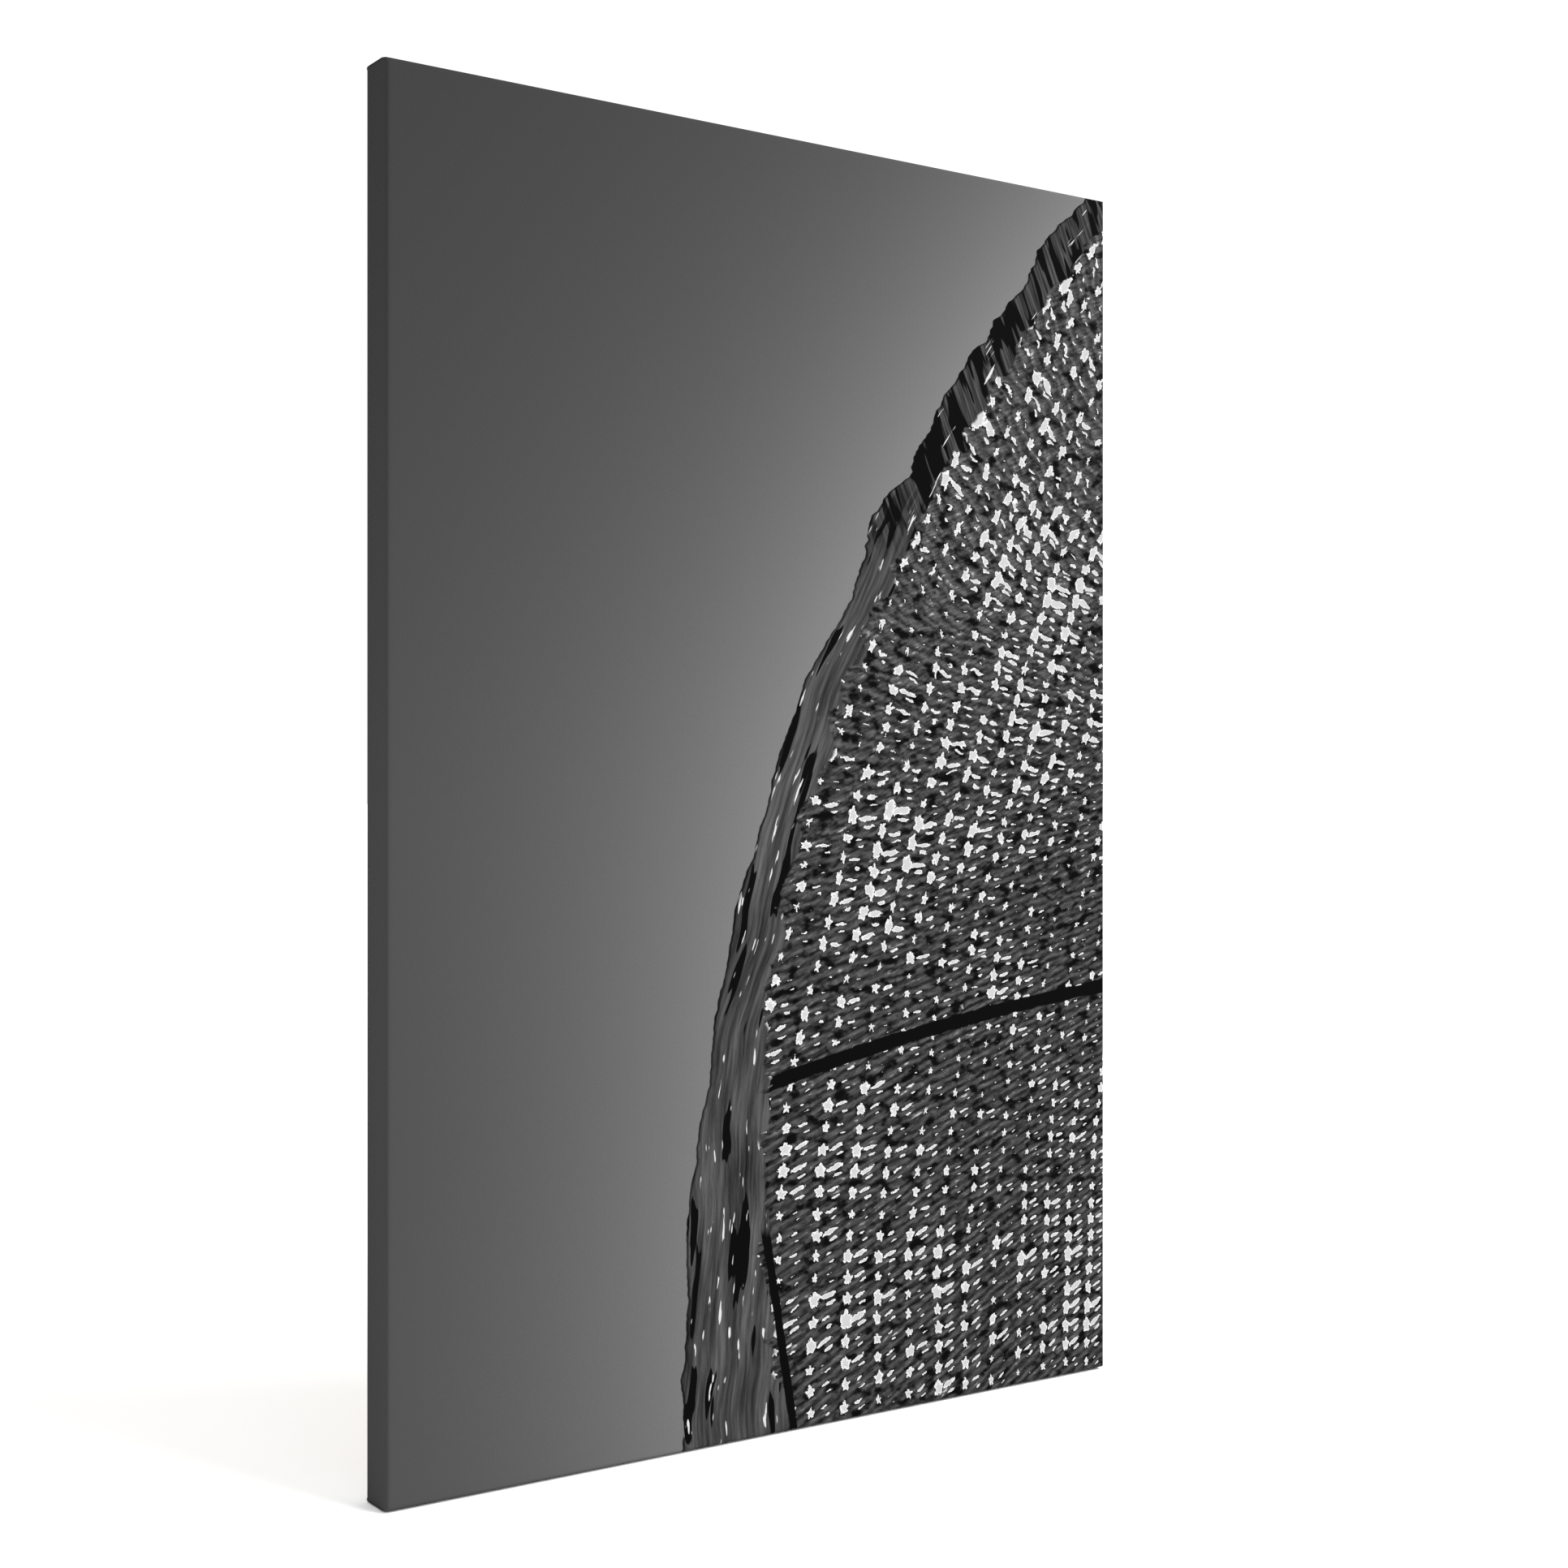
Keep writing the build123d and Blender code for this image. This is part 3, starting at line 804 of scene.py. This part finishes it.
def layer_height(index, to_end, depth, on_back):
    """How high the cloth's middle lies over the wood: more over the layers folded in below."""
    height = np.full(np.shape(to_end), THICK / 2)
    if index % 2 == 1:
        return height
    reach = np.minimum(depth, DEPTH)
    layers = over_fold(to_end, reach) + over_fold(to_end, np.where(on_back, FLAP, reach))
    return height + LAYER * opened(depth) * layers


def crease_inset(inward, on_back):
    """How far inside the corner the end cloth's fold lies: a little more on the back."""
    round_edge, across_flap = CREASE_DRAW
    drawn_in = round_edge * smooth(inward, 0, BACK_RADIUS)
    drawn_in = drawn_in + across_flap * smooth(inward, BACK_RADIUS, FLAP)
    return THICK * 0.2 + np.where(on_back, drawn_in, 0.0)


def corner_turn(index, inward, depth, on_back):
    """How far a strip's ends run past the wood's corner, behind the front roll.

    The side cloth runs on round the corner, and on the back its flap ends just inside the wood.
    The end cloth stops at its crease.
    """
    if index % 2 == 0:
        parted = opened(depth)
        return THICK / 2 * (1 - parted) - crease_inset(inward, on_back) * parted
    drawn_in = smooth(inward, 0, BACK_RADIUS)
    return THICK / 2 - (THICK / 2 + FLAP_INSET) * np.where(on_back, drawn_in, 0)


def slack(index, x, inward, depth, to_end, on_back):
    """How far the cloth stands off the wood, and how far its cut edge wanders inwards.

    The flap lifts a little between the staples and the wrap ripples, both less near a corner.
    The waves' lengths are given as radians for each metre along the side.
    """
    covered = FLAP if index % 2 == 1 else 0.0
    near_end = np.where(on_back, to_end - covered, to_end)
    calm = smooth(near_end, 0, CALM_RUN)
    near = np.min(np.abs(x[:, :, None] - staple_marks(index)[None, None, :]), axis=2)
    lift = FLAP_LIFT * smooth(near, 0.005, 0.022) * smooth(inward, 0.008, FLAP)
    ripple = WRAP_RIPPLE * np.sin(x * 146 + index) * smooth(depth, 0.004, 0.018)
    wander = 0.0005 * np.sin(x * 131 + index * 2) + 0.0003 * np.sin(x * 407 + index)
    drift = np.where(on_back, wander * smooth(inward, 0.012, FLAP), 0)
    return calm * np.where(on_back, lift, ripple), calm * drift


def face_grid(marks):
    """The printed face, a little hollow where the cloth spans the open frame."""
    x = -marks[0] * (WIDTH / 2 - BEAD)
    z = marks[1] * (HEIGHT / 2 - BEAD)
    x, z = np.meshgrid(x, z)
    hollow = np.cos(x * math.pi / WIDTH) * np.cos(z * math.pi / HEIGHT)
    y = -THICK / 2 + HOLLOW * (hollow - hollow[0].max())
    y = np.minimum(np.maximum(y, -THICK / 2), 0)
    y[[0, -1], :] = -THICK / 2
    y[:, [0, -1]] = -THICK / 2
    return MIDDLE + np.stack([x, y, z], -1), np.stack([x, z + HEIGHT / 2], -1)


def strip_grid(index, mark):
    """One side's front roll, wrap and back flap, and its places on the flat cloth.

    Its ends are mitred over the front roll, and turn at the corner behind it.
    """
    length = side_axes(index)[2]
    rows = np.arange(len(PROFILE))[:, None]
    inward, depth, lean_in, lean_back, travelled = (PROFILE[:, i][:, None] for i in range(5))
    on_side = rows >= SIDE_START
    on_back = rows > BACK_START
    to_end = length / 2 * (1 - np.abs(mark)) + 0 * inward
    half = np.where(on_side, length / 2, length / 2 - inward)
    turn = corner_turn(index, inward, depth, on_back)
    x = mark * (half + np.where(on_side, turn, -lean_in * THICK / 2))
    rise, drift = slack(index, x, inward, depth, to_end, on_back)
    height = layer_height(index, to_end, depth + 0 * mark, on_back) + rise
    points = placed(index, x, inward + drift + lean_in * height, depth + lean_back * height)
    out = travelled - BEAD + 0 * mark
    return points, flat_place(index, mark * half, out)


def placed(index, x, inward, depth):
    """Points in the row frame from a side's own places: along it, inwards and back."""
    along, inwards, _, middle = side_axes(index)
    shape = np.broadcast(x, inward, depth).shape
    parts = [np.broadcast_to(part, shape)[..., None] for part in (x, inward, depth)]
    return middle + parts[0] * along + parts[1] * inwards + parts[2] * np.array([0.0, 1.0, 0.0])


def flat_place(index, x, out):
    """Places on the flat cloth: along a side, and outwards past its front edge."""
    along, inwards, _, middle = side_axes(index)
    flat = middle + np.asarray(x)[..., None] * along - np.asarray(out)[..., None] * inwards
    return np.stack([flat[..., 0], flat[..., 2] - MIDDLE[2] + HEIGHT / 2], -1)


def fold_row(index, end, row):
    """One row of a corner's spare cloth: its points, and their places on the flat cloth.

    The first four run from the crease to the turn, and the last four back under them.
    """
    inward, depth, lean_in, lean_back, travelled = PROFILE[row]
    reach = min(depth, DEPTH)
    half = side_axes(index)[2] / 2
    inset = float(crease_inset(inward, row > BACK_START))

    # Each step is how far in from the corner it is, and how many layers lie below it.
    crease = [(inset - 0.55 * THICK, 1.5), (inset, 1.0), (reach * 0.5, 1.0), (reach, 1.0)]
    under = [(reach + 0.3 * THICK, 0.5), (reach, 0.0), (reach * 0.5, 0.0), (0.0, 0.0)]
    steps = np.array(crease + under)
    x = end * (half - steps[:, 0])
    height = THICK / 2 + LAYER * float(opened(depth)) * steps[:, 1]
    points = placed(index, x, inward + lean_in * height, depth + lean_back * height)

    out = travelled - BEAD
    crease_out = np.array([0.0, 0.0, reach * 0.5, reach])
    crease_flat = flat_place(index, end * (half + crease_out), out + 0 * crease_out)
    share = np.array([0.1, 0.2, 0.6, 0.95])
    under_out = reach + (out - reach) * share
    under_flat = flat_place(index, end * (half + under_out), out * (1 - share))
    return points, np.vstack([crease_flat, under_flat])


def fold_corner(sheet, index, end, strips):
    """One corner's spare cloth: creased at the edge, turned under, and doubled back.

    It joins the end strip's own edge to the side strip's, row by row.
    """
    last, first = (-1, 0) if end > 0 else (0, -1)
    end_edge = [grid[:, last] for grid in strips[index]]
    side_edge = [grid[:, first] for grid in strips[(index + end) % 4]]
    creases, unders = [], []
    for row in range(SIDE_START, len(PROFILE)):
        folded = fold_row(index, end, row)
        crease = [np.vstack([edge[row], part[:4]]) for edge, part in zip(end_edge, folded)]
        under = [np.vstack([part[3:], edge[row]]) for edge, part in zip(side_edge, folded)]
        if row == SIDE_START:
            # The fold starts from a single point, at the front corner.
            crease[0][:] = end_edge[0][row]
            under[0][:] = end_edge[0][row]
        creases.append(crease)
        if row <= BACK_START:
            unders.append(under)
    for patch in (creases, unders):
        sheet.grid(*(np.array(part) for part in zip(*patch)))


def canvas_middle():
    """The cloth's middle surface: its face, four wrapped sides and four folded corners."""
    sheet = Sheet()
    marks = [spread_marks(side_axes(index)[2]) for index in range(4)]
    sheet.grid(*face_grid(marks))
    strips = [strip_grid(index, marks[index][None, :]) for index in range(4)]
    for points, flat in strips:
        sheet.grid(points, flat)
    for index in (0, 2):
        for end in (-1, 1):
            fold_corner(sheet, index, end, strips)
    return sheet


def joined_mesh(sheet):
    """The patches as one surface whose outside faces the same way all over."""
    mesh = bpy.data.meshes.new("canvas_cloth")
    mesh.from_pydata(np.concatenate(sheet.points).tolist(), [], np.concatenate(sheet.quads).tolist())
    flat = np.concatenate(sheet.flat).astype(np.float32)
    loops = np.zeros(len(mesh.loops), np.int32)
    mesh.loops.foreach_get("vertex_index", loops)
    mesh.uv_layers.new(name="Flat").uv.foreach_set("vector", flat[loops].ravel())
    surface = bmesh.new()
    surface.from_mesh(mesh)
    bmesh.ops.remove_doubles(surface, verts=surface.verts, dist=WELD)
    bmesh.ops.dissolve_degenerate(surface, edges=surface.edges, dist=WELD / 2)
    bmesh.ops.recalc_face_normals(surface, faces=surface.faces)
    largest = max(surface.faces, key=lambda face: face.calc_area())
    if largest.normal.y > 0:
        bmesh.ops.reverse_faces(surface, faces=surface.faces)
    surface.to_mesh(mesh)
    surface.free()
    return mesh


def build_canvas():
    """The finished cloth, with its thickness, materials and maps."""
    mesh = joined_mesh(canvas_middle())
    mesh.materials.append(printed_canvas())
    mesh.materials.append(raw_canvas())
    cloth = bpy.data.objects.new("canvas_cloth", mesh)
    bpy.context.scene.collection.objects.link(cloth)
    shell = cloth.modifiers.new("thickness", "SOLIDIFY")
    shell.thickness = THICK * SHELL_SHARE
    shell.offset = 0.0
    shell.material_offset = 1
    shell.material_offset_rim = 1
    depsgraph = bpy.context.evaluated_depsgraph_get()
    cloth.data = bpy.data.meshes.new_from_object(cloth.evaluated_get(depsgraph))
    cloth.modifiers.clear()
    place_bake_map(cloth.data)
    cloth.data.shade_smooth()
    return cloth


def back_loops(mesh):
    """Which face corners are on the back of the cloth or its rim, rather than its printed face."""
    owner = np.zeros(len(mesh.polygons), np.int32)
    mesh.polygons.foreach_get("material_index", owner)
    sides = np.zeros(len(mesh.polygons), np.int32)
    mesh.polygons.foreach_get("loop_total", sides)
    return np.repeat(owner, sides) > 0


def place_bake_map(mesh):
    """A map with the flat cloth on the left and its back, smaller, on the right."""
    share = 0.97
    margin = 0.01
    flat = np.zeros(len(mesh.loops) * 2, np.float32)
    mesh.uv_layers["Flat"].uv.foreach_get("vector", flat)
    flat = flat.reshape(-1, 2)
    low = flat.min(0)
    span = flat.max(0) - low
    unit = (flat - low) / span[1]
    front = unit * share + margin
    middle = front[:, 0].max() + margin
    back_share = (1 - middle - margin) / (span[0] / span[1])
    back = unit * back_share + np.array([middle, margin])
    places = np.where(back_loops(mesh)[:, None], back, front)
    layer = mesh.uv_layers.new(name="OFBake", do_init=False)
    layer.uv.foreach_set("vector", places.astype(np.float32).ravel())


# ---------------------------------------------------------------------------------------------
# Scene
# ---------------------------------------------------------------------------------------------
def dress_bars():
    """Give each bar its own pine, with the grain along it."""
    for order, side in enumerate(SIDES):
        upright = side in ("left", "right")
        low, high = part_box("bar_" + side)
        length = max(high.x - low.x, high.z - low.z) * MM
        centre = ((low.x + high.x) if upright else (low.z + high.z)) * MM / 2
        seed = 3.0 + 7.0 * order
        wood = pine("pine_" + side, upright, seed, length, centre)
        paint(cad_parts["bar_" + side], wood)


def dress_key(name, node):
    """Give a key its own beech, with the grain along it."""
    low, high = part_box(name)
    upright = high.z - low.z > high.x - low.x
    seed = 5.0 + sum(ord(letter) for letter in name) % 17
    paint(node, beech("beech_" + name, upright, seed))


def dress_frame():
    """Give each CAD node its material."""
    dress_bars()
    steel = plated_steel("nickel_plate", NICKEL, 0.16)
    wire = plated_steel("staple_wire", STAPLE_STEEL, 0.24)
    pads = felt()
    for name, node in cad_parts.items():
        if name.startswith("staples_"):
            paint(node, wire)
        elif name.startswith("hanger_"):
            paint(node, steel)
        elif name.startswith("bumper_"):
            paint(node, pads)
        elif name.startswith("key_"):
            dress_key(name, node)


def paint(piece, material):
    """Replace a piece's materials with one."""
    piece.data.materials.clear()
    piece.data.materials.append(material)


def floor():
    """A wide pale floor just under the object."""
    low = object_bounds()[0]
    bpy.ops.mesh.primitive_plane_add(size=FLOOR_SIZE, location=(0, 0, low.z - FLOOR_GAP))
    plane = bpy.context.object
    plane.name = "floor"
    material, _, shader = new_material("floor_white")
    shader.inputs["Base Color"].default_value = (*FLOOR_WHITE, 1)
    shader.inputs["Roughness"].default_value = 0.9
    shader.inputs["Specular IOR Level"].default_value = 0.0
    paint(plane, material)
    plane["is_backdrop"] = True


def lights():
    """A white surround, and a broad soft light from the front right."""
    world = bpy.data.worlds.new("surround")
    world.use_nodes = True
    background = world.node_tree.nodes["Background"]
    background.inputs["Color"].default_value = (1, 1, 1, 1)
    background.inputs["Strength"].default_value = SURROUND_STRENGTH
    bpy.context.scene.world = world
    data = bpy.data.lights.new("key", "SUN")
    data.energy = KEY_STRENGTH
    data.angle = KEY_SPREAD
    key = bpy.data.objects.new("key", data)
    bpy.context.scene.collection.objects.link(key)
    key.rotation_euler = KEY_DIRECTION.to_track_quat("-Z", "Y").to_euler()
    bpy.context.scene.view_settings.view_transform = "Standard"


def camera():
    """The viewpoint: level, half-way up, turned to the right."""
    data = bpy.data.cameras.new("camera")
    data.lens = LENS_MM
    data.sensor_width = SENSOR_MM
    data.clip_start = NEAREST_SEEN
    view = bpy.data.objects.new("camera", data)
    bpy.context.scene.collection.objects.link(view)
    view.location = (CAMERA_X, CLOTH_LOW.y - CAMERA_GAP, (CLOTH_LOW.z + CLOTH_HIGH.z) / 2)
    view.rotation_euler = (math.radians(90), 0, -CAMERA_TURN)
    bpy.context.scene.camera = view


camera()
cloth = build_canvas()
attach(cloth, "frame")
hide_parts("canvas")
dress_frame()
floor()
lights()
